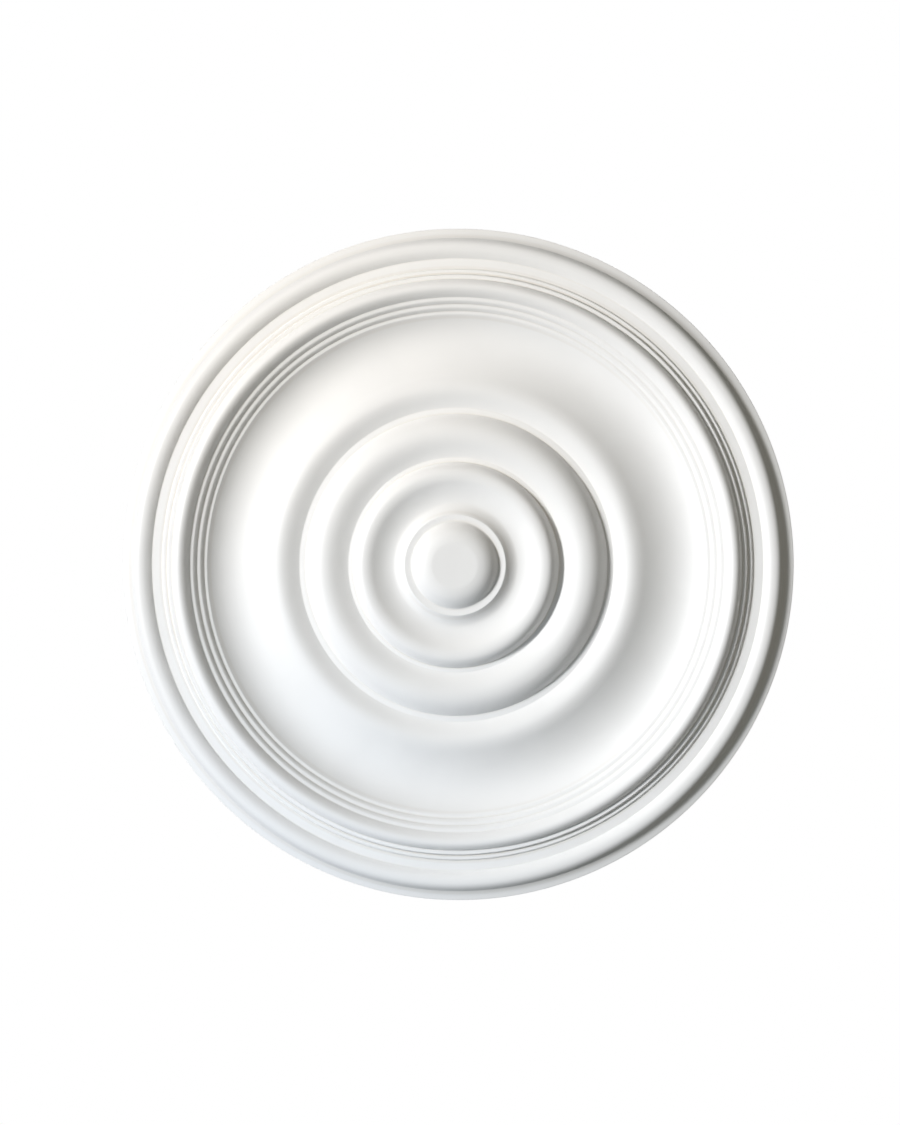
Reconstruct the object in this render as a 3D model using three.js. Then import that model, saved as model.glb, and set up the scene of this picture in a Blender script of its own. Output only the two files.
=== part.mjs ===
// Ceiling rose: one cast plaster piece, turned true about its centre.
// Millimetres, +Z up. The moulded face looks down and the flat back lies on z = 0, against the ceiling.
// The section is built up as a running mould is, member by member from the centre out to the edge.
// Widths run outwards, heights are measured down from the ceiling, and slopes are in degrees.

import * as THREE from 'three';

const SIDES = 60;

// Dish: the wide hollow between the waves and the outer roll. Its floor is the thinnest plaster inside the edge.
const DISH_FLOOR_HEIGHT = 8.0;
const DISH_SHOULDER_WIDTH = 12.2;
const DISH_SHOULDER_DROP = 4.0;
const DISH_FALL_WIDTH = 32.5;
const DISH_FALL_DROP = 10.4;
const DISH_FALL_SLOPE = 29;
const DISH_RIM_WIDTH = 22.3;
const DISH_RIM_RISE = 7.5;
const DISH_RIM_SLOPE = 37;

// Boss: a flat round face with a rounded side
const BOSS_FACE_RADIUS = 20.4;
const BOSS_SIDE_WIDTH = 17.6;
const BOSS_SIDE_DROP = 10.8;
const BOSS_RIM_SLOPE = 7;
const BOSS_SIDE_SLOPE = 57;

// Lip round the foot of the boss, and the cove below it
const LIP_HOLLOW_WIDTH = 2.0;
const LIP_HOLLOW_DROP = 0.8;
const LIP_WIDTH = 4.8;
const LIP_RISE = 0.4;
const LIP_SLOPE = 6;
const COVE_WIDTH = 10.8;
const COVE_DROP = 6.3;
const COVE_SLOPE = 43;

// First wave: a long rise, a crest and a rounded fall
const FIRST_RISE_WIDTH = 17.2;
const FIRST_RISE = 5.1;
const FIRST_RISE_SLOPE = 26;
const FIRST_CREST_WIDTH = 7.2;
const FIRST_CREST_RISE = 1.8;
const FIRST_FALL_WIDTH = 11.6;
const FIRST_FALL_DROP = 11.6;
const FIRST_FALL_SLOPE = 70;

// Second wave: broader, with the same parts
const SECOND_RISE_WIDTH = 19.1;
const SECOND_RISE = 6.6;
const SECOND_RISE_SLOPE = 26;
const SECOND_FALL_WIDTH = 19.8;
const SECOND_FALL_DROP = 14.2;
const SECOND_FALL_SLOPE = 61;

// Third wave, whose fall is the side of the dish
const THIRD_RISE_WIDTH = 16.0;
const THIRD_RISE = 5.7;
const THIRD_RISE_SLOPE = 27;

// Narrow flat at the foot of the first and of the second wave
const FIRST_QUIRK_WIDTH = 4.1;
const SECOND_QUIRK_WIDTH = 5.6;
const QUIRK_DROP = 0.5;

// Reeds: fine rounded steps up to the outer roll
const REED_COUNT = 3;
const REED_TREAD = 2.9;
const REED_TREAD_RISE = 0.4;
const REED_RISER = 3.1;
const REED_RISER_RISE = 3.0;
const REED_FOOT_SLOPE = 55;
const REED_HEAD_SLOPE = 20;

// Outer roll with a steep foot, and the fine steps down to the fillet
const ROLL_INNER_WIDTH = 8.7;
const ROLL_RISE = 6.3;
const ROLL_INNER_SLOPE = 53;
const ROLL_OUTER_WIDTH = 6.5;
const ROLL_DROP = 4.8;
const ROLL_OUTER_SLOPE = 60;
const ROLL_FOOT_WIDTH = 0.9;
const ROLL_FOOT_DROP = 2.6;
const STEP_TREAD = 3.5;
const STEP_TREAD_DROP = 0.1;
const STEP_RISER = 1.3;
const UPPER_STEP_DROP = 3.8;
const LOWER_STEP_DROP = 2.2;

// Fillet that falls a little outwards, bead, and the splayed edge that meets the ceiling
const FILLET_WIDTH = 9.2;
const FILLET_DROP = 0.6;
const BEAD_INNER_WIDTH = 8.6;
const BEAD_RISE = 4.4;
const BEAD_INNER_SLOPE = 48;
const BEAD_OUTER_WIDTH = 9.7;
const BEAD_DROP = 7.2;
const BEAD_OUTER_SLOPE = 64;
const SPLAY_WIDTH = 8.7;
const SPLAY_HEAD_SLOPE = 42;
const SPLAY_FOOT_SLOPE = 16;
const EDGE_HEIGHT = 7.8;

// A member runs outwards from where the last one ended: its width, its rise (a fall is negative),
// its slopes where it starts and where it ends, and the straight steps that it is drawn in.
function member(width, rise, startSlope, endSlope, steps) {
  const start = Math.tan(THREE.MathUtils.degToRad(startSlope));
  const end = Math.tan(THREE.MathUtils.degToRad(endSlope));
  return { width, rise, start, end, steps };
}

// A straight member, level or tilted
function straight(width, rise) {
  return { width, rise, start: rise / width, end: rise / width, steps: 1 };
}

// A smooth curve over the member that keeps its slopes at both ends
function memberPoint({ width, rise, start, end }, share) {
  const rest = 1 - share;
  const height = rise * share * share * (3 - 2 * share)
    + width * start * share * rest * rest
    - width * end * share * share * rest;
  return [width * share, height];
}

const totalRise = (members) => members.reduce((sum, { rise }) => sum + rise, 0);

function bossMembers() {
  return [
    straight(BOSS_FACE_RADIUS, 0),
    member(BOSS_SIDE_WIDTH, -BOSS_SIDE_DROP, -BOSS_RIM_SLOPE, -BOSS_SIDE_SLOPE, 5),
    member(LIP_HOLLOW_WIDTH, -LIP_HOLLOW_DROP, -BOSS_SIDE_SLOPE, 0, 2),
    member(LIP_WIDTH, LIP_RISE, 0, LIP_SLOPE, 1),
    member(COVE_WIDTH, -COVE_DROP, -COVE_SLOPE, 0, 4),
  ];
}

function waveMembers() {
  return [
    member(FIRST_RISE_WIDTH, FIRST_RISE, 0, FIRST_RISE_SLOPE, 3),
    member(FIRST_CREST_WIDTH, FIRST_CREST_RISE, FIRST_RISE_SLOPE, 0, 2),
    member(FIRST_FALL_WIDTH, -FIRST_FALL_DROP, 0, -FIRST_FALL_SLOPE, 5),
    straight(FIRST_QUIRK_WIDTH, -QUIRK_DROP),
    member(SECOND_RISE_WIDTH, SECOND_RISE, SECOND_RISE_SLOPE, 0, 3),
    member(SECOND_FALL_WIDTH, -SECOND_FALL_DROP, 0, -SECOND_FALL_SLOPE, 6),
    straight(SECOND_QUIRK_WIDTH, -QUIRK_DROP),
    member(THIRD_RISE_WIDTH, THIRD_RISE, THIRD_RISE_SLOPE, 0, 3),
    member(DISH_SHOULDER_WIDTH, -DISH_SHOULDER_DROP, 0, -DISH_FALL_SLOPE, 3),
    member(DISH_FALL_WIDTH, -DISH_FALL_DROP, -DISH_FALL_SLOPE, 0, 4),
  ];
}

function reedMembers() {
  const tread = straight(REED_TREAD, REED_TREAD_RISE);
  const riser = member(REED_RISER, REED_RISER_RISE, REED_FOOT_SLOPE, REED_HEAD_SLOPE, 2);
  const lowerReeds = Array.from({ length: REED_COUNT - 1 }, () => [tread, riser]);
  return [...lowerReeds.flat(), tread];
}

function stepMembers(drop) {
  return [
    straight(STEP_TREAD, -STEP_TREAD_DROP),
    straight(STEP_RISER, -drop),
  ];
}

function rollMembers() {
  return [
    member(DISH_RIM_WIDTH, DISH_RIM_RISE, 0, DISH_RIM_SLOPE, 4),
    ...reedMembers(),
    member(ROLL_INNER_WIDTH, ROLL_RISE, ROLL_INNER_SLOPE, 0, 4),
    member(ROLL_OUTER_WIDTH, -ROLL_DROP, 0, -ROLL_OUTER_SLOPE, 3),
    straight(ROLL_FOOT_WIDTH, -ROLL_FOOT_DROP),
    ...stepMembers(UPPER_STEP_DROP),
    ...stepMembers(LOWER_STEP_DROP),
  ];
}

function beadMembers() {
  return [
    straight(FILLET_WIDTH, -FILLET_DROP),
    member(BEAD_INNER_WIDTH, BEAD_RISE, BEAD_INNER_SLOPE, 0, 3),
    member(BEAD_OUTER_WIDTH, -BEAD_DROP, 0, -BEAD_OUTER_SLOPE, 4),
  ];
}

// The splay falls from wherever the members inside it leave off to the edge.
function splayMember(membersInside) {
  const beadFoot = DISH_FLOOR_HEIGHT + totalRise(membersInside);
  return member(SPLAY_WIDTH, EDGE_HEIGHT - beadFoot, -SPLAY_HEAD_SLOPE, -SPLAY_FOOT_SLOPE, 2);
}

// The section runs from the middle of the boss out to the edge, up to the ceiling and back to the middle.
function makeSection() {
  const inner = [...bossMembers(), ...waveMembers()];
  const outer = [...rollMembers(), ...beadMembers()];
  let radius = 0;
  let height = DISH_FLOOR_HEIGHT - totalRise(inner);
  const section = [new THREE.Vector2(radius, -height)];
  for (const part of [...inner, ...outer, splayMember(outer)]) {
    for (let step = 1; step <= part.steps; step += 1) {
      const [run, rise] = memberPoint(part, step / part.steps);
      section.push(new THREE.Vector2(radius + run, -(height + rise)));
    }
    radius += part.width;
    height += part.rise;
  }
  section.push(new THREE.Vector2(radius, 0));
  section.push(new THREE.Vector2(0, 0));
  return section;
}

const plaster = new THREE.MeshStandardMaterial({ color: 0xf1f0ec, roughness: 0.6, metalness: 0 });
const shape = new THREE.LatheGeometry(makeSection(), SIDES);
const rose = new THREE.Mesh(shape, plaster);
rose.name = 'ceiling_rose';
rose.rotation.x = Math.PI / 2;

const group = new THREE.Group();
group.add(rose);

export default group;
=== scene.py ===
"""White plaster ceiling rose, seen from straight below as it hangs on the ceiling.

The moulded face looks down (-Z) and the flat back lies on z = 0. The rose is turned from one section:
a row of members from the centre of the boss out to the edge, then the edge and the struck-off back.
"""
import math

import bpy
from mathutils import Matrix, Vector


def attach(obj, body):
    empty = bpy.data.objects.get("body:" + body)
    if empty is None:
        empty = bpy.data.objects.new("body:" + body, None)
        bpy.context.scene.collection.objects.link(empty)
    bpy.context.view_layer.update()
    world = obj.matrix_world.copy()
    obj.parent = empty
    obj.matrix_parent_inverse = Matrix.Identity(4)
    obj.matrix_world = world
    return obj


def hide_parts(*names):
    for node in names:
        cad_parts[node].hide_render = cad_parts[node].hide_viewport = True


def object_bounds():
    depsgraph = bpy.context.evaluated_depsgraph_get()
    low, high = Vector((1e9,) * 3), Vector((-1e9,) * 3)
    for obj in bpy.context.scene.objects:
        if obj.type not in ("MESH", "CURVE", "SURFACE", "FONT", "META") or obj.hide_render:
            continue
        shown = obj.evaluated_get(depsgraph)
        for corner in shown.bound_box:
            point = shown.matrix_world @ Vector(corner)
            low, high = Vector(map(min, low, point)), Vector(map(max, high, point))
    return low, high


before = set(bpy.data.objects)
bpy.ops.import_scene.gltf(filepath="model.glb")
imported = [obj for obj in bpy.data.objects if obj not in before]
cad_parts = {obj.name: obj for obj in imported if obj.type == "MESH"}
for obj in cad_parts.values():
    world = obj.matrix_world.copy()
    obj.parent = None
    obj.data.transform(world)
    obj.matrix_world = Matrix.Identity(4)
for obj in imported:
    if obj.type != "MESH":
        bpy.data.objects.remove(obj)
cad_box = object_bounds()

MM = 0.001
NODE = "ceiling_rose"

# Fineness of the turned surface
SIDES = 240
CURVE_STEP = 1.15 * MM
WELD = 0.01 * MM

# Small radius on arrises and creases, which takes no more than its share of the straights beside it
ARRIS = 0.45 * MM
ARRIS_STEPS = 3
ARRIS_SHARE = 0.45
SHARPEST_SMOOTH_TURN = math.radians(14)

# Sizes of the section are in millimetres and its slopes in degrees.
# Dish, whose floor is the thinnest plaster inside the edge
DISH_FLOOR_HEIGHT = 8.0
DISH_SHOULDER_WIDTH = 12.2
DISH_SHOULDER_DROP = 4.0
DISH_FALL_WIDTH = 32.5
DISH_FALL_DROP = 10.4
DISH_FALL_SLOPE = 29
DISH_RIM_WIDTH = 22.3
DISH_RIM_RISE = 7.5
DISH_RIM_SLOPE = 37

# Boss, with the lip and the cove round its foot
BOSS_FACE_RADIUS = 20.4
BOSS_SIDE_WIDTH = 17.6
BOSS_SIDE_DROP = 10.8
BOSS_RIM_SLOPE = 7
BOSS_SIDE_SLOPE = 57
LIP_HOLLOW_WIDTH = 2.0
LIP_HOLLOW_DROP = 0.8
LIP_WIDTH = 4.8
LIP_RISE = 0.4
LIP_SLOPE = 6
COVE_WIDTH = 10.8
COVE_DROP = 6.3
COVE_SLOPE = 43

# The three waves
FIRST_RISE_WIDTH = 17.2
FIRST_RISE = 5.1
FIRST_RISE_SLOPE = 26
FIRST_CREST_WIDTH = 7.2
FIRST_CREST_RISE = 1.8
FIRST_FALL_WIDTH = 11.6
FIRST_FALL_DROP = 11.6
FIRST_FALL_SLOPE = 70
SECOND_RISE_WIDTH = 19.1
SECOND_RISE = 6.6
SECOND_RISE_SLOPE = 26
SECOND_FALL_WIDTH = 19.8
SECOND_FALL_DROP = 14.2
SECOND_FALL_SLOPE = 61
THIRD_RISE_WIDTH = 16.0
THIRD_RISE = 5.7
THIRD_RISE_SLOPE = 27
FIRST_QUIRK_WIDTH = 4.1
SECOND_QUIRK_WIDTH = 5.6
QUIRK_DROP = 0.5

# Reeds up to the outer roll
REED_COUNT = 3
REED_TREAD = 2.9
REED_TREAD_RISE = 0.4
REED_RISER = 3.1
REED_RISER_RISE = 3.0
REED_FOOT_SLOPE = 55
REED_HEAD_SLOPE = 20

# Outer roll with a steep foot, and the steps down to the fillet
ROLL_INNER_WIDTH = 8.7
ROLL_RISE = 6.3
ROLL_INNER_SLOPE = 53
ROLL_OUTER_WIDTH = 6.5
ROLL_DROP = 4.8
ROLL_OUTER_SLOPE = 60
ROLL_FOOT_WIDTH = 0.9
ROLL_FOOT_DROP = 2.6
STEP_TREAD = 3.5
STEP_TREAD_DROP = 0.1
STEP_RISER = 1.3
UPPER_STEP_DROP = 3.8
LOWER_STEP_DROP = 2.2

# Fillet, bead, splay and edge
FILLET_WIDTH = 9.2
FILLET_DROP = 0.6
BEAD_INNER_WIDTH = 8.6
BEAD_RISE = 4.4
BEAD_INNER_SLOPE = 48
BEAD_OUTER_WIDTH = 9.7
BEAD_DROP = 7.2
BEAD_OUTER_SLOPE = 64
SPLAY_WIDTH = 8.7
SPLAY_HEAD_SLOPE = 42
SPLAY_FOOT_SLOPE = 16
EDGE_HEIGHT = 7.8

# Back, struck off in slow waves inside a level rim. The normals of its faces point up by BACK_REACH.
BACK_RINGS = 30
BACK_RIM = 6 * MM
BACK_REACH = 0.9
BACK_WAVE = 0.5 * MM
BACK_WAVE_FINENESS = 22.0

# Creases and arrises are told apart by the mean height of the face round them
BEND = "bend"
BEND_REACH = 4 * MM
BEND_DEPTH = 1.2 * MM


def member(width, rise, start_slope, end_slope):
    """A smooth curve: its width outwards, its rise, and its slopes in degrees at both ends."""
    return width, rise, math.tan(math.radians(start_slope)), math.tan(math.radians(end_slope))


def straight(width, rise):
    return width, rise, rise / width, rise / width


def boss_members():
    return [
        straight(BOSS_FACE_RADIUS, 0),
        member(BOSS_SIDE_WIDTH, -BOSS_SIDE_DROP, -BOSS_RIM_SLOPE, -BOSS_SIDE_SLOPE),
        member(LIP_HOLLOW_WIDTH, -LIP_HOLLOW_DROP, -BOSS_SIDE_SLOPE, 0),
        member(LIP_WIDTH, LIP_RISE, 0, LIP_SLOPE),
        member(COVE_WIDTH, -COVE_DROP, -COVE_SLOPE, 0),
    ]


def wave_members():
    return [
        member(FIRST_RISE_WIDTH, FIRST_RISE, 0, FIRST_RISE_SLOPE),
        member(FIRST_CREST_WIDTH, FIRST_CREST_RISE, FIRST_RISE_SLOPE, 0),
        member(FIRST_FALL_WIDTH, -FIRST_FALL_DROP, 0, -FIRST_FALL_SLOPE),
        straight(FIRST_QUIRK_WIDTH, -QUIRK_DROP),
        member(SECOND_RISE_WIDTH, SECOND_RISE, SECOND_RISE_SLOPE, 0),
        member(SECOND_FALL_WIDTH, -SECOND_FALL_DROP, 0, -SECOND_FALL_SLOPE),
        straight(SECOND_QUIRK_WIDTH, -QUIRK_DROP),
        member(THIRD_RISE_WIDTH, THIRD_RISE, THIRD_RISE_SLOPE, 0),
        member(DISH_SHOULDER_WIDTH, -DISH_SHOULDER_DROP, 0, -DISH_FALL_SLOPE),
        member(DISH_FALL_WIDTH, -DISH_FALL_DROP, -DISH_FALL_SLOPE, 0),
    ]


def reed_members():
    tread = straight(REED_TREAD, REED_TREAD_RISE)
    riser = member(REED_RISER, REED_RISER_RISE, REED_FOOT_SLOPE, REED_HEAD_SLOPE)
    return [tread, riser] * (REED_COUNT - 1) + [tread]


def step_members(drop):
    return [straight(STEP_TREAD, -STEP_TREAD_DROP), straight(STEP_RISER, -drop)]


def roll_members():
    return [
        member(DISH_RIM_WIDTH, DISH_RIM_RISE, 0, DISH_RIM_SLOPE),
        *reed_members(),
        member(ROLL_INNER_WIDTH, ROLL_RISE, ROLL_INNER_SLOPE, 0),
        member(ROLL_OUTER_WIDTH, -ROLL_DROP, 0, -ROLL_OUTER_SLOPE),
        straight(ROLL_FOOT_WIDTH, -ROLL_FOOT_DROP),
        *step_members(UPPER_STEP_DROP),
        *step_members(LOWER_STEP_DROP),
    ]


def bead_members():
    return [
        straight(FILLET_WIDTH, -FILLET_DROP),
        member(BEAD_INNER_WIDTH, BEAD_RISE, BEAD_INNER_SLOPE, 0),
        member(BEAD_OUTER_WIDTH, -BEAD_DROP, 0, -BEAD_OUTER_SLOPE),
    ]


def total_rise(members):
    return sum(rise for _, rise, _, _ in members)


def member_points(start, width, rise, start_slope, end_slope):
    """Points along one member in metres, about CURVE_STEP apart or closer, without its first one."""
    steps = max(1, math.ceil(math.hypot(width, rise) * MM / CURVE_STEP))
    points = []
    for step in range(1, steps + 1):
        share = step / steps
        rest = 1 - share
        lift = rise * share * share * (3 - 2 * share)
        lift += width * start_slope * share * rest * rest
        lift -= width * end_slope * share * share * rest
        points.append(start + Vector((width * share, lift)) * MM)
    return points


def face_section():
    """Radius and height of the moulded face, from the middle of the boss to the foot of the edge."""
    inner = boss_members() + wave_members()
    outer = roll_members() + bead_members()
    boss_height = DISH_FLOOR_HEIGHT - total_rise(inner)
    splay_fall = EDGE_HEIGHT - DISH_FLOOR_HEIGHT - total_rise(outer)
    splay = member(SPLAY_WIDTH, splay_fall, -SPLAY_HEAD_SLOPE, -SPLAY_FOOT_SLOPE)
    points = [Vector((0, boss_height)) * MM]
    for part in [*inner, *outer, splay]:
        points += member_points(points[-1], *part)
    return points


def eased(points):
    """Rounds each arris and each crease over the small radius that a running mould leaves."""
    done = [points[0]]
    for before, corner, after in zip(points, points[1:], points[2:]):
        turn = (corner - before).angle(after - corner)
        if turn < SHARPEST_SMOOTH_TURN:
            done.append(corner)
            continue
        enter = corner + (before - corner) * min(ARRIS_SHARE, ARRIS / (before - corner).length)
        leave = corner + (after - corner) * min(ARRIS_SHARE, ARRIS / (after - corner).length)
        for step in range(ARRIS_STEPS + 1):
            share = step / ARRIS_STEPS
            done.append(enter.lerp(corner, share).lerp(corner.lerp(leave, share), share))
    done.append(points[-1])
    return done


def rose_section():
    """The whole outline: the face, up the edge to the ceiling, and back across it to the middle."""
    face = face_section()
    radius = face[-1].x
    back = [Vector((radius * (1 - ring / BACK_RINGS), 0)) for ring in range(BACK_RINGS + 1)]
    return eased([*face, *back])


def bends(outline):
    """How far each point lies in a crease (up to 1) or out on an arris (down to -1)."""
    values = []
    for point in outline:
        near = [(other.y, 1 - abs(other.x - point.x) / BEND_REACH) for other in outline
                if abs(other.x - point.x) < BEND_REACH and other.y > 0]
        weight = sum(share for _, share in near)
        level = sum(height * share for height, share in near) / weight if weight else point.y
        values.append(max(-1, min(1, (level - point.y) / BEND_DEPTH)) if point.y > 0 else 0)
    return values


def section_mesh():
    outline = rose_section()
    mesh = bpy.data.meshes.new("rose section")
    places = [(point.x, 0, -point.y) for point in outline]
    mesh.from_pydata(places, [(i, i + 1) for i in range(len(places) - 1)], [])
    mesh.attributes.new(BEND, "FLOAT", "POINT").data.foreach_set("value", bends(outline))
    return mesh


class Tree:
    """Short calls for adding and joining the nodes of one tree."""

    def __init__(self, tree):
        self.tree = tree

    def join(self, value, socket):
        """Gives a socket a plain value or the output of another node."""
        if isinstance(value, bpy.types.NodeSocket):
            self.tree.links.new(value, socket)
        else:
            socket.default_value = value

    def add(self, kind, inputs=None, **settings):
        node = self.tree.nodes.new(kind)
        for key, value in settings.items():
            setattr(node, key, value)
        for key, value in (inputs or {}).items():
            self.join(value, node.inputs[key])
        return node

    def math(self, operation, first, second=0.0):
        return self.add("ShaderNodeMath", {0: first, 1: second}, operation=operation).outputs[0]

    def split(self, vector):
        """The X, Y and Z of a vector."""
        return self.add("ShaderNodeSeparateXYZ", {0: vector}).outputs

    def radius(self, place):
        """How far a split place lies from the axis of the rose."""
        squares = [self.math("POWER", place[axis], 2) for axis in "XY"]
        return self.math("SQRT", self.math("ADD", *squares))


TURNING_INPUTS = {
    "Geometry": "NodeSocketGeometry",
    "Sides": "NodeSocketInt",
    "Weld": "NodeSocketFloat",
    "Back Reach": "NodeSocketFloat",
    "Back Wave": "NodeSocketFloat",
    "Back Wave Fineness": "NodeSocketFloat",
    "Face Finish": "NodeSocketMaterial",
    "Back Finish": "NodeSocketMaterial",
}


def back_wave(tree, geometry, given):
    """Sinks the struck-off back by up to Back Wave, and leaves its rim on the plane of the ceiling."""
    place = tree.add("GeometryNodeInputPosition").outputs[0]
    flat = tree.split(place)
    inside = tree.math("LESS_THAN", tree.radius(flat), cad_box[1][0] - BACK_RIM)
    on_back = tree.math("MULTIPLY", tree.math("GREATER_THAN", flat["Z"], -WELD / 2), inside)
    noise = tree.add("ShaderNodeTexNoise", {
        "Vector": place, "Scale": given["Back Wave Fineness"], "Detail": 1.0})
    depth = tree.math("MULTIPLY", noise.outputs["Fac"], given["Back Wave"])
    sink = tree.math("MULTIPLY", tree.math("MULTIPLY", depth, on_back), -1)
    down = tree.add("ShaderNodeCombineXYZ", {"Z": sink}).outputs[0]
    return tree.add("GeometryNodeSetPosition", {"Geometry": geometry, "Offset": down}).outputs[0]


def drawn_value(tree, section, index, value, data_type):
    """What a value is at one point of the drawn section."""
    return tree.add("GeometryNodeSampleIndex", {
        "Geometry": section, "Value": value, "Index": index}, data_type=data_type).outputs["Value"]


def turned_grid(tree, given):
    """A grid with a column to each side and a row to each point of the section, wrapped round the axis."""
    section = given["Geometry"]
    count = tree.add("GeometryNodeAttributeDomainSize", {"Geometry": section}).outputs["Point Count"]
    columns = tree.math("ADD", given["Sides"], 1)
    grid = tree.add("GeometryNodeMeshGrid", {"Vertices X": columns, "Vertices Y": count})
    place = tree.add("GeometryNodeInputPosition").outputs[0]
    flat = tree.split(place)
    angle = tree.math("MULTIPLY", tree.math("ADD", flat["X"], 0.5), 2 * math.pi)
    last = tree.math("SUBTRACT", count, 1)
    index = tree.math("ROUND", tree.math("MULTIPLY", tree.math("ADD", flat["Y"], 0.5), last))

    drawn = tree.split(drawn_value(tree, section, index, place, "FLOAT_VECTOR"))
    turned = tree.add("ShaderNodeCombineXYZ", {
        "X": tree.math("MULTIPLY", drawn["X"], tree.math("COSINE", angle)),
        "Y": tree.math("MULTIPLY", drawn["X"], tree.math("SINE", angle)),
        "Z": drawn["Z"],
    }).outputs[0]
    bend = tree.add("GeometryNodeInputNamedAttribute", {"Name": BEND}, data_type="FLOAT").outputs[0]
    marked = tree.add("GeometryNodeStoreNamedAttribute", {
        "Geometry": grid.outputs["Mesh"],
        "Name": BEND,
        "Value": drawn_value(tree, section, index, bend, "FLOAT"),
    }, data_type="FLOAT", domain="POINT")
    return tree.add("GeometryNodeSetPosition", {"Geometry": marked.outputs[0], "Position": turned}).outputs[0]


def turning_tree():
    """Geometry nodes that turn a section about Z and finish its face and its back."""
    group = bpy.data.node_groups.new("Turn a section", "GeometryNodeTree")
    for label, kind in TURNING_INPUTS.items():
        group.interface.new_socket(label, in_out="INPUT", socket_type=kind)
    group.interface.new_socket("Geometry", in_out="OUTPUT", socket_type="NodeSocketGeometry")
    tree = Tree(group)
    given = group.nodes.new("NodeGroupInput").outputs

    waved = back_wave(tree, turned_grid(tree, given), given)
    welded = tree.add("GeometryNodeMergeByDistance", {"Geometry": waved, "Distance": given["Weld"]})
    smooth = tree.add("GeometryNodeSetShadeSmooth", {"Geometry": welded.outputs[0]})
    normal = tree.add("GeometryNodeInputNormal").outputs[0]
    facing_up = tree.math("GREATER_THAN", tree.split(normal)["Z"], given["Back Reach"])

    whole = tree.add("GeometryNodeRealizeInstances", {"Geometry": smooth.outputs[0]})
    faced = tree.add("GeometryNodeSetMaterial", {
        "Geometry": whole.outputs[0], "Material": given["Face Finish"]})
    backed = tree.add("GeometryNodeSetMaterial", {
        "Geometry": faced.outputs[0], "Selection": facing_up, "Material": given["Back Finish"]})
    tree.join(backed.outputs[0], group.nodes.new("NodeGroupOutput").inputs[0])
    return group


def set_inputs(modifier, values):
    for item in modifier.node_group.interface.items_tree:
        if item.in_out == "INPUT" and item.name in values:
            modifier[item.identifier] = values[item.name]


def turn_rose(face_finish, back_finish):
    drawn = bpy.data.objects.new("rose section", section_mesh())
    bpy.context.collection.objects.link(drawn)
    modifier = drawn.modifiers.new("turn", "NODES")
    modifier.node_group = turning_tree()
    set_inputs(modifier, {
        "Sides": SIDES,
        "Weld": WELD,
        "Back Reach": BACK_REACH,
        "Back Wave": BACK_WAVE,
        "Back Wave Fineness": BACK_WAVE_FINENESS,
        "Face Finish": face_finish,
        "Back Finish": back_finish,
    })
    evaluated = drawn.evaluated_get(bpy.context.evaluated_depsgraph_get())
    mesh = bpy.data.meshes.new_from_object(evaluated)
    mesh.name = "turned rose"
    bpy.data.objects.remove(drawn)
    rose = bpy.data.objects.new("turned_rose", mesh)
    bpy.context.collection.objects.link(rose)
    return rose


# Finishes: tones are red, green and blue, a pair of numbers is a range, and heights are in millimetres.
# Noise keeps near its middle, and an air hole has some width even where its cell gives it none.
WHOLE = (0, 1)
NOISE_RANGE = (0.35, 0.65)
LEAST_HOLE_WIDTH = 0.001


def effect_group(name, inputs, outputs):
    """An empty shader group of plain numbers: its tree, and what comes into it and goes out of it."""
    group = bpy.data.node_groups.new(name, "ShaderNodeTree")
    for label, value in inputs.items():
        socket = group.interface.new_socket(label, in_out="INPUT", socket_type="NodeSocketFloat")
        socket.default_value = value
    for label in outputs:
        group.interface.new_socket(label, in_out="OUTPUT", socket_type="NodeSocketFloat")
    return Tree(group), group.nodes.new("NodeGroupInput").outputs, group.nodes.new("NodeGroupOutput").inputs


def grain_group():
    """Fine grain of set plaster, and the slow clouds of tone and height under it."""
    tree, given, out = effect_group(
        "Plaster grain", {"Grain Fineness": 900, "Cloud Fineness": 14}, ["Grain", "Cloud"])
    place = tree.add("ShaderNodeTexCoord").outputs["Object"]
    grain = tree.add("ShaderNodeTexNoise", {
        "Vector": place, "Scale": given["Grain Fineness"], "Detail": 3.0, "Roughness": 0.6})
    cloud = tree.add("ShaderNodeTexNoise", {
        "Vector": place, "Scale": given["Cloud Fineness"],
        "Detail": 2.0, "Roughness": 0.5, "Distortion": 0.4})
    tree.join(grain.outputs["Fac"], out["Grain"])
    tree.join(cloud.outputs["Fac"], out["Cloud"])
    return tree.tree


def hole_group():
    """Round air holes: one in some of the cells, each shallow at its rim."""
    tree, given, out = effect_group("Air holes", {"Cells": 60, "Filled": 0.2, "Width": 0.1}, ["Holes"])
    place = tree.add("ShaderNodeTexCoord").outputs["Object"]
    cells = tree.add("ShaderNodeTexVoronoi", {"Vector": place, "Scale": given["Cells"], "Randomness": 1.0})
    chance = tree.add("ShaderNodeSeparateColor", {0: cells.outputs["Color"]}).outputs[0]
    filled = tree.math("LESS_THAN", chance, given["Filled"])
    width = tree.math("MULTIPLY", given["Width"], tree.math("DIVIDE", chance, given["Filled"]))
    from_middle = tree.math("DIVIDE", cells.outputs["Distance"], tree.math("ADD", width, LEAST_HOLE_WIDTH))
    pit = tree.math("SUBTRACT", 1.0, from_middle)
    pit.node.use_clamp = True
    tree.join(tree.math("MULTIPLY", pit, filled), out["Holes"])
    return tree.tree


def drag_group():
    """Long faint lines left by a dragged metal edge. Across counts the distance over the lines."""
    tree, given, out = effect_group("Drag lines", {"Across": 0, "Along": 0, "Fineness": 600}, ["Lines"])
    across = tree.math("MULTIPLY", given["Across"], given["Fineness"])
    place = tree.add("ShaderNodeCombineXYZ", {"X": across, "Y": given["Along"]}).outputs[0]
    lines = tree.add("ShaderNodeTexNoise", {
        "Vector": place, "Scale": 1.0, "Detail": 4.0, "Roughness": 0.65})
    tree.join(lines.outputs["Fac"], out["Lines"])
    return tree.tree


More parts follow.
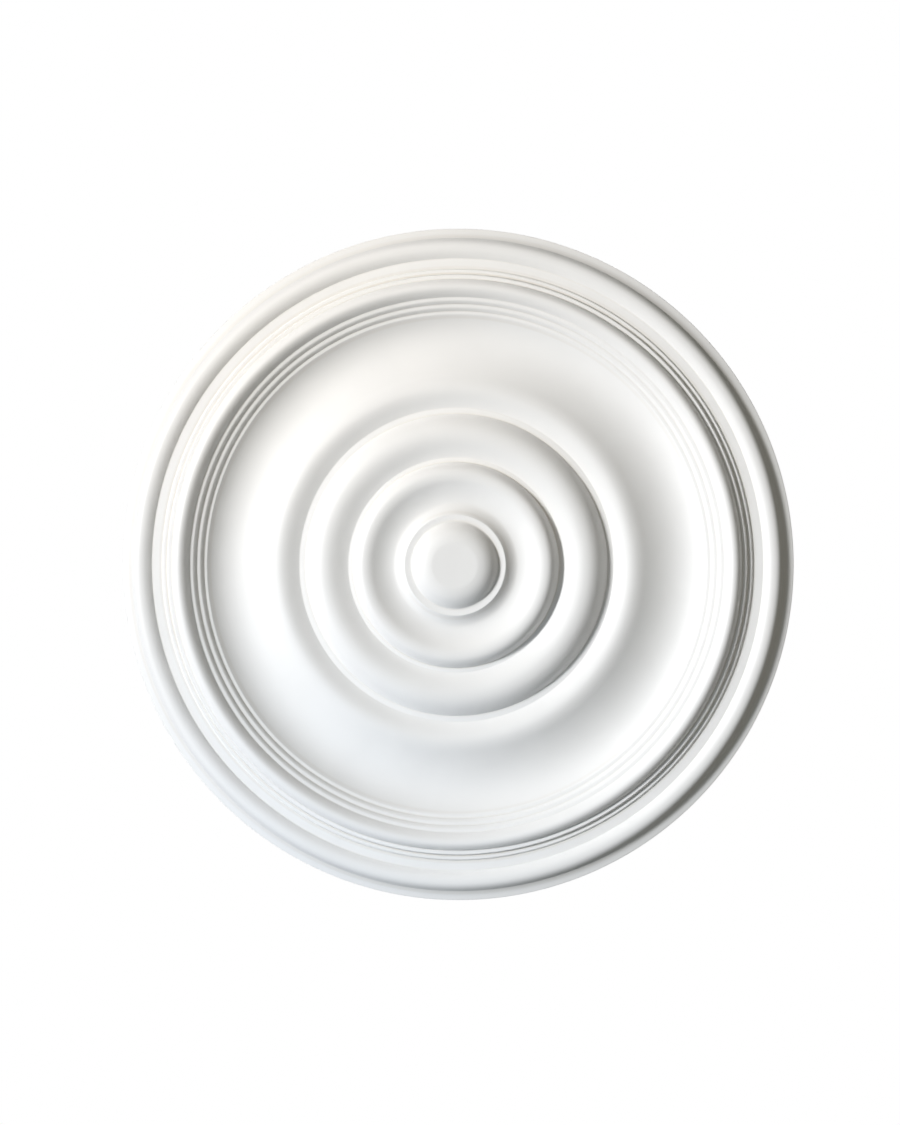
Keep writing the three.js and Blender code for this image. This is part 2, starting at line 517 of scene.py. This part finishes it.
def effect(tree, group, inputs):
    return tree.add("ShaderNodeGroup", inputs, node_tree=group).outputs


def new_finish(name):
    material = bpy.data.materials.new(name)
    material.use_nodes = True
    tree = Tree(material.node_tree)
    return material, tree, material.node_tree.nodes["Principled BSDF"].inputs


def blended(tree, share, first, second):
    """A colour between two, each a plain colour or the output of another node."""
    ends = [colour if isinstance(colour, bpy.types.NodeSocket) else (*colour, 1)
            for colour in (first, second)]
    inputs = {"Factor": share, 6: ends[0], 7: ends[1]}
    return tree.add("ShaderNodeMix", inputs, data_type="RGBA").outputs[2]


def mapped(tree, value, source, target):
    """Moves a value from the one range onto the other, and stops it at the ends."""
    return tree.add("ShaderNodeMapRange", {
        0: value, 1: source[0], 2: source[1], 3: target[0], 4: target[1]}).outputs[0]


def spread(tree, noise, target):
    """Moves noise, which keeps near its middle, onto a range."""
    return mapped(tree, noise, NOISE_RANGE, target)


def total(tree, *values):
    result = values[0]
    for value in values[1:]:
        result = tree.math("ADD", result, value)
    return result


def bumped(tree, sockets, height_in_mm):
    bump = tree.add("ShaderNodeBump", {"Height": height_in_mm, "Strength": 1.0, "Distance": MM})
    tree.join(bump.outputs[0], sockets["Normal"])


# Smooth face. Its lines run round the centre, eased close to it, and change by LINE_CHANGE on their way.
FACE_TONES = ((0.868, 0.867, 0.864), (0.848, 0.847, 0.844))
FACE_ROUGHNESS = (0.5, 0.58)
FACE_CLOUD_HEIGHT = (0, 0.16)
FACE_GRAIN_HEIGHT = (0, 0.003)
CENTRE_EASE = 0.01
LINE_CHANGE = 1.5
LINE_ROUGHNESS = (-0.03, 0.03)
LINE_HEIGHT = (0, 0.008)
# Creases are painted darker and warmer as shade, with a little dust, broken up by the drag lines, and are
# rougher.
CREASE_SHADE_BEND = (0.05, 1.0)
CREASE_SHADE_TONE = (0.72, 0.685, 0.63)
CREASE_SHADE_STRENGTH = (0.45, 1)
CREASE_ROUGHNESS = 0.2
RUBBED_BEND = (-0.05, -0.8)
RUBBED_TONE = (0.885, 0.88, 0.872)
RUBBED_STRENGTH = (0.2, 0.7)
RUBBED_ROUGHNESS = -0.12
# Pinholes are painted darker as the shade inside them.
PINHOLE_SHADE_TONE = (0.60, 0.57, 0.52)
PINHOLE_HEIGHT = -0.35


def face_finish(grain, holes, drags):
    """Smooth run plaster: drag lines round the centre, rubbed arrises, a few pinholes, and painted shade in
    creases and pinholes.
    """
    material, tree, sockets = new_finish("smooth white plaster")
    place = tree.split(tree.add("ShaderNodeTexCoord").outputs["Object"])
    radius = tree.radius(place)
    sideways = tree.math("DIVIDE", place["Y"], tree.math("ADD", radius, CENTRE_EASE))
    way_round = tree.math("MULTIPLY", sideways, LINE_CHANGE)
    lines = effect(tree, drags, {"Across": radius, "Along": way_round, "Fineness": 420})[0]
    body = effect(tree, grain, {"Grain Fineness": 1400, "Cloud Fineness": 16})
    pits = effect(tree, holes, {"Cells": 55, "Filled": 0.16, "Width": 0.035})[0]
    bend = tree.add("ShaderNodeAttribute", attribute_name=BEND).outputs["Fac"]
    crease = mapped(tree, bend, CREASE_SHADE_BEND, WHOLE)
    arris = mapped(tree, bend, RUBBED_BEND, WHOLE)

    tone = blended(tree, spread(tree, body["Cloud"], WHOLE), *FACE_TONES)
    # Painted shade in the creases.
    crease_shade = tree.math("MULTIPLY", crease, spread(tree, lines, CREASE_SHADE_STRENGTH))
    tone = blended(tree, crease_shade, tone, CREASE_SHADE_TONE)
    rubbed = tree.math("MULTIPLY", arris, spread(tree, body["Grain"], RUBBED_STRENGTH))
    tone = blended(tree, rubbed, tone, RUBBED_TONE)
    # Painted shade in the pinholes.
    tree.join(blended(tree, pits, tone, PINHOLE_SHADE_TONE), sockets["Base Color"])
    rough = total(
        tree,
        spread(tree, body["Cloud"], FACE_ROUGHNESS),
        spread(tree, lines, LINE_ROUGHNESS),
        tree.math("MULTIPLY", crease, CREASE_ROUGHNESS),
        tree.math("MULTIPLY", arris, RUBBED_ROUGHNESS))
    tree.join(rough, sockets["Roughness"])
    bumped(tree, sockets, total(
        tree,
        spread(tree, lines, LINE_HEIGHT),
        spread(tree, body["Grain"], FACE_GRAIN_HEIGHT),
        spread(tree, body["Cloud"], FACE_CLOUD_HEIGHT),
        tree.math("MULTIPLY", pits, PINHOLE_HEIGHT)))
    return material


# Struck-off back. The lines of the rule run square to STRIKE, sway a little and change by STRIKE_CHANGE.
STRIKE_TURN = math.radians(24)
STRIKE = (math.cos(STRIKE_TURN), math.sin(STRIKE_TURN))
STRIKE_CHANGE = 9
STRIKE_SWAY = (-0.006, 0.006)
BACK_TONES = ((0.80, 0.785, 0.755), (0.72, 0.70, 0.66))
BACK_ROUGHNESS = (0.74, 0.86)
BACK_GRAIN_HEIGHT = (0, 0.05)
BROAD_TONE = (0.84, 0.83, 0.805)
BROAD_STRENGTH = (0, 0.6)
BROAD_HEIGHT = (0, 0.35)
FINE_TONE = (0.66, 0.64, 0.60)
FINE_STRENGTH = (0, 0.35)
FINE_ROUGHNESS = (-0.06, 0.06)
FINE_HEIGHT = (0, 0.08)
# Open air holes are painted dark as the shade inside them.
OPEN_HOLE_SHADE_TONE = (0.42, 0.395, 0.35)
OPEN_HOLE_HEIGHT = -0.9


def back_finish(grain, holes, drags):
    """Back struck off while wet: straight drag lines from the rule, patches of tone, and open air holes
    painted dark as shade.
    """
    material, tree, sockets = new_finish("struck plaster back")
    place = tree.split(tree.add("ShaderNodeTexCoord").outputs["Object"])
    across = tree.math("ADD", tree.math("MULTIPLY", place["X"], STRIKE[0]),
                       tree.math("MULTIPLY", place["Y"], STRIKE[1]))
    along = tree.math("SUBTRACT", tree.math("MULTIPLY", place["Y"], STRIKE[0] * STRIKE_CHANGE),
                      tree.math("MULTIPLY", place["X"], STRIKE[1] * STRIKE_CHANGE))
    body = effect(tree, grain, {"Grain Fineness": 420, "Cloud Fineness": 9})
    sway = tree.math("ADD", across, spread(tree, body["Cloud"], STRIKE_SWAY))
    fine = effect(tree, drags, {"Across": sway, "Along": along, "Fineness": 320})[0]
    broad = effect(tree, drags, {"Across": sway, "Along": along, "Fineness": 55})[0]
    large = effect(tree, holes, {"Cells": 45, "Filled": 0.22, "Width": 0.085})[0]
    small = effect(tree, holes, {"Cells": 140, "Filled": 0.25, "Width": 0.12})[0]
    pits = tree.math("MAXIMUM", large, small)

    tone = blended(tree, spread(tree, body["Cloud"], WHOLE), *BACK_TONES)
    tone = blended(tree, spread(tree, broad, BROAD_STRENGTH), tone, BROAD_TONE)
    tone = blended(tree, spread(tree, fine, FINE_STRENGTH), tone, FINE_TONE)
    # Painted shade in the open air holes.
    tree.join(blended(tree, pits, tone, OPEN_HOLE_SHADE_TONE), sockets["Base Color"])
    rough = total(tree, spread(tree, body["Cloud"], BACK_ROUGHNESS), spread(tree, fine, FINE_ROUGHNESS))
    tree.join(rough, sockets["Roughness"])
    bumped(tree, sockets, total(
        tree,
        spread(tree, fine, FINE_HEIGHT),
        spread(tree, broad, BROAD_HEIGHT),
        spread(tree, body["Grain"], BACK_GRAIN_HEIGHT),
        tree.math("MULTIPLY", pits, OPEN_HOLE_HEIGHT)))
    return material


# Floor: its finish, its depth below the ceiling, its width, and the light on it
FLOOR_TONES = ((0.80, 0.80, 0.79), (0.77, 0.77, 0.765))
FLOOR_SPECK_TONE = (0.84, 0.84, 0.835)
FLOOR_SPECK_STRENGTH = (0, 0.3)
FLOOR_ROUGHNESS = (0.7, 0.85)
FLOOR_GRAIN_HEIGHT = (0, 0.3)
FLOOR_DEPTH = 3.2
FLOOR_SIZE = 60
FLOOR_LIGHT = 2.4


def floor_finish(grain):
    material, tree, sockets = new_finish("pale floor")
    body = effect(tree, grain, {"Grain Fineness": 60, "Cloud Fineness": 0.8})
    tone = blended(tree, spread(tree, body["Cloud"], WHOLE), *FLOOR_TONES)
    tone = blended(tree, spread(tree, body["Grain"], FLOOR_SPECK_STRENGTH), tone, FLOOR_SPECK_TONE)
    tree.join(tone, sockets["Base Color"])
    tree.join(spread(tree, body["Grain"], FLOOR_ROUGHNESS), sockets["Roughness"])
    bumped(tree, sockets, spread(tree, body["Grain"], FLOOR_GRAIN_HEIGHT))
    return material


def light_floor(floor):
    """An even light from above that falls on the floor alone."""
    lamp = bpy.data.lights.new("floor light", "SUN")
    lamp.energy = FLOOR_LIGHT
    light = bpy.data.objects.new("floor light", lamp)
    bpy.context.collection.objects.link(light)
    lit = bpy.data.collections.new("lit by the floor light")
    lit.objects.link(floor)
    light.light_linking.receiver_collection = lit


def make_floor(finish):
    """A floor that is seen but neither lights the rose nor throws a shadow on it."""
    mesh = bpy.data.meshes.new("floor")
    reach = FLOOR_SIZE / 2
    corners = [(-reach, -reach), (reach, -reach), (reach, reach), (-reach, reach)]
    mesh.from_pydata([(x, y, -FLOOR_DEPTH) for x, y in corners], [], [(0, 1, 2, 3)])
    floor = bpy.data.objects.new("floor", mesh)
    bpy.context.collection.objects.link(floor)
    mesh.materials.append(finish)
    floor.visible_diffuse = False
    floor.visible_glossy = False
    floor.visible_shadow = False
    light_floor(floor)


# Light from all round: what comes level, what more comes upright, and its tint from either side
SIDE_AMBIENT = 0.0525
FRONT_AMBIENT = 0.241
WARM_SIDE = (1.0, 0.93, 0.72)
COOL_SIDE = (0.80, 0.89, 1.0)
WHITE = (1.0, 1.0, 1.0)

# Key light, turned from the picture's left towards its top and tilted from straight below
KEY_STRENGTH = 3.24
KEY_SPREAD = math.radians(9)
KEY_TURN = math.radians(12)
KEY_TILT = math.radians(48)

# Soft square lights: place, aim, size, power and colour
WARM_FILL = ((-0.25, -0.32, -0.4), (0, -0.3, 0), 0.3, 0.19, (1.0, 0.62, 0.15))
COOL_FILL = ((-0.25, 0.36, -0.4), (0, 0.3, 0), 0.3, 0.22, (0.1, 0.5, 1.0))
OVERHEAD = ((0.6, -0.8, 2.6), (0, 0, 0), 2.0, 60, WHITE)


def make_world():
    """A plain white backdrop, whose weak light is warm from the picture's right and cool from its left."""
    world = bpy.data.worlds.new("studio")
    world.use_nodes = True
    bpy.context.scene.world = world
    tree = Tree(world.node_tree)
    world.node_tree.nodes.clear()
    seen = tree.add("ShaderNodeLightPath").outputs["Is Camera Ray"]
    backdrop = tree.add("ShaderNodeBackground", {"Color": (*WHITE, 1), "Strength": 1.0})
    direction = tree.split(tree.add("ShaderNodeTexCoord").outputs["Generated"])
    to_right = mapped(tree, direction["X"], (-1, 1), WHOLE)
    upright = tree.math("MULTIPLY", tree.math("ABSOLUTE", direction["Z"]), FRONT_AMBIENT)
    soft = tree.add("ShaderNodeBackground", {
        "Color": blended(tree, to_right, COOL_SIDE, WARM_SIDE),
        "Strength": tree.math("ADD", upright, SIDE_AMBIENT),
    })
    both = tree.add("ShaderNodeMixShader", {0: seen, 1: soft.outputs[0], 2: backdrop.outputs[0]})
    tree.add("ShaderNodeOutputWorld", {"Surface": both.outputs[0]})


def add_light(name, lamp, place, shines):
    light = bpy.data.objects.new(name, lamp)
    light.location = place
    light.rotation_euler = shines.to_track_quat("-Z", "Y").to_euler()
    bpy.context.collection.objects.link(light)


def add_key():
    """A broad far light from the picture's left, even over the whole rose."""
    lamp = bpy.data.lights.new("key", "SUN")
    lamp.energy = KEY_STRENGTH
    lamp.angle = KEY_SPREAD
    level = math.sin(KEY_TILT)
    shines = Vector((level * math.cos(KEY_TURN), level * math.sin(KEY_TURN), math.cos(KEY_TILT)))
    add_light("key", lamp, (0, 0, 0), shines)


def add_soft_light(name, place, aim, size, power, colour):
    lamp = bpy.data.lights.new(name, "AREA")
    lamp.size = size
    lamp.energy = power
    lamp.color = colour
    add_light(name, lamp, place, Vector(aim) - Vector(place))


def make_lights():
    add_key()
    add_soft_light("warm fill", *WARM_FILL)
    add_soft_light("cool fill", *COOL_FILL)
    add_soft_light("overhead", *OVERHEAD)


# Camera: the photograph's frame, read in its own pixels, and the camera's place in metres
PHOTO_WIDTH = 900
PHOTO_HEIGHT = 1125
OUTLINE_CENTRE = (456.6, 564.8)
OUTLINE_DIAMETER = 671.4
CAMERA_PLACE = Vector((0.134, -0.036, -2.9))
SENSOR = 36


def make_camera():
    """A camera below the rose, with the picture's right along +X and its foot along +Y."""
    diameter = cad_box[1][0] - cad_box[0][0]
    pixel = diameter / OUTLINE_DIAMETER
    right = (OUTLINE_CENTRE[0] - PHOTO_WIDTH / 2) * pixel
    down = (OUTLINE_CENTRE[1] - PHOTO_HEIGHT / 2) * pixel
    aim = Vector((-right, -down, -EDGE_HEIGHT * MM))
    camera = bpy.data.objects.new("camera", bpy.data.cameras.new("camera"))
    camera.data.sensor_width = SENSOR
    camera.data.lens = SENSOR * (aim - CAMERA_PLACE).length / (PHOTO_HEIGHT * pixel)
    camera.location = CAMERA_PLACE
    backward = (CAMERA_PLACE - aim).normalized()
    up = backward.cross(Vector((1, 0, 0))).normalized()
    camera.rotation_euler = Matrix((up.cross(backward), up, backward)).transposed().to_euler()
    bpy.context.collection.objects.link(camera)
    bpy.context.scene.camera = camera


bpy.context.scene.view_settings.view_transform = "Standard"

plaster_grain = grain_group()
air_holes = hole_group()
drag_lines = drag_group()

make_world()
make_floor(floor_finish(plaster_grain))
make_lights()
make_camera()

rose = turn_rose(face_finish(plaster_grain, air_holes, drag_lines),
                 back_finish(plaster_grain, air_holes, drag_lines))
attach(rose, "root")
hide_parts(NODE)
